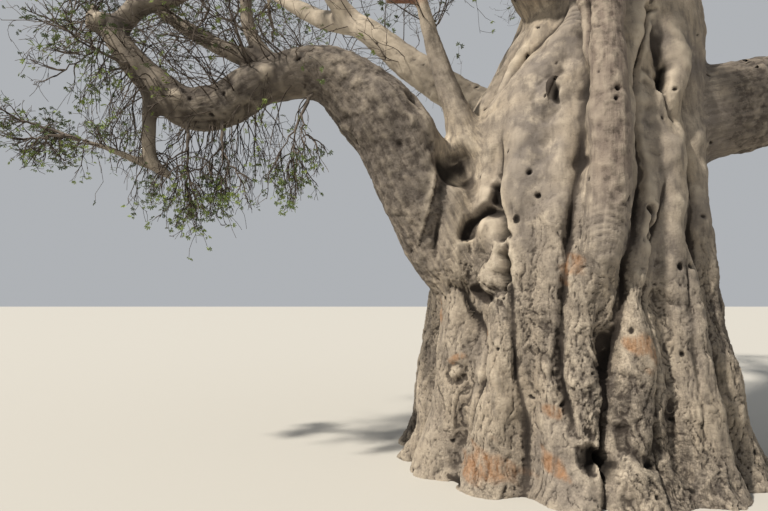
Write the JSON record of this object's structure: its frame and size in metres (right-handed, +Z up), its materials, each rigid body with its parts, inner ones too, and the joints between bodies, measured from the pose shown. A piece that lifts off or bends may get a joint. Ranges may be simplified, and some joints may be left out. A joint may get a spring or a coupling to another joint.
{
  "type": "baobab tree",
  "caption": "Large old baobab with a swollen ribbed trunk cut flat at the ground, crooked tapering boughs and a thin crown of bare twigs with few leaves.",
  "frame": {"origin": "centre of the flat cut under the trunk, at ground level", "axes": "+Z up, -Y the side the picture shows, +X to that side's right"},
  "size_m": [15.2217, 12.9629, 13.1794],
  "materials": {
    "bark": "pale grey-brown bark, smooth above and wrinkled below",
    "twigs": "dull olive leaf sprays on dark bare twigs"
  },
  "bodies": {
    "root": {"trunk": "bark", "crotch_stem": "bark", "crown_left_bough": "bark", "crown_left_fork": "bark", "crown_right_bough": "bark", "crown_right_fork": "bark", "crown_top_bough": "bark", "crown_top_fork": "bark", "front_bough": "bark", "front_left_bough": "bark", "front_left_fork": "bark", "left_arm": "bark", "left_bough": "bark", "left_drop": "bark", "left_drop_side": "bark", "left_return": "bark", "left_slant": "bark", "left_upright": "bark", "rear_bough": "bark", "rear_bough_fork": "bark", "rear_left_bough": "bark", "rear_left_fork": "bark", "rear_right_bough": "bark", "rear_right_fork": "bark", "right_bough": "bark", "right_bough_front": "bark", "right_bough_rear": "bark", "arm_front_twigs": "twigs", "arm_hanging_twigs": "twigs", "bend_hanging_twigs": "twigs", "crotch_stem_twigs": "twigs", "crown_left_bough_twigs": "twigs", "crown_left_fork_twigs": "twigs", "crown_right_bough_twigs": "twigs", "crown_right_fork_twigs": "twigs", "crown_top_bough_twigs": "twigs", "crown_top_fork_twigs": "twigs", "front_bough_twigs": "twigs", "front_left_bough_twigs": "twigs", "front_left_fork_twigs": "twigs", "left_drop_side_twigs": "twigs", "left_return_twigs": "twigs", "left_slant_twigs": "twigs", "left_upright_twigs": "twigs", "rear_bough_fork_twigs": "twigs", "rear_bough_twigs": "twigs", "rear_left_bough_twigs": "twigs", "rear_left_fork_twigs": "twigs", "rear_right_bough_twigs": "twigs", "rear_right_fork_twigs": "twigs", "right_bough_front_twigs": "twigs", "right_bough_rear_twigs": "twigs", "right_bough_twigs": "twigs", "shoulder_hanging_twigs": "twigs", "shoulder_top_twigs": "twigs"}
  },
  "joints": []
}
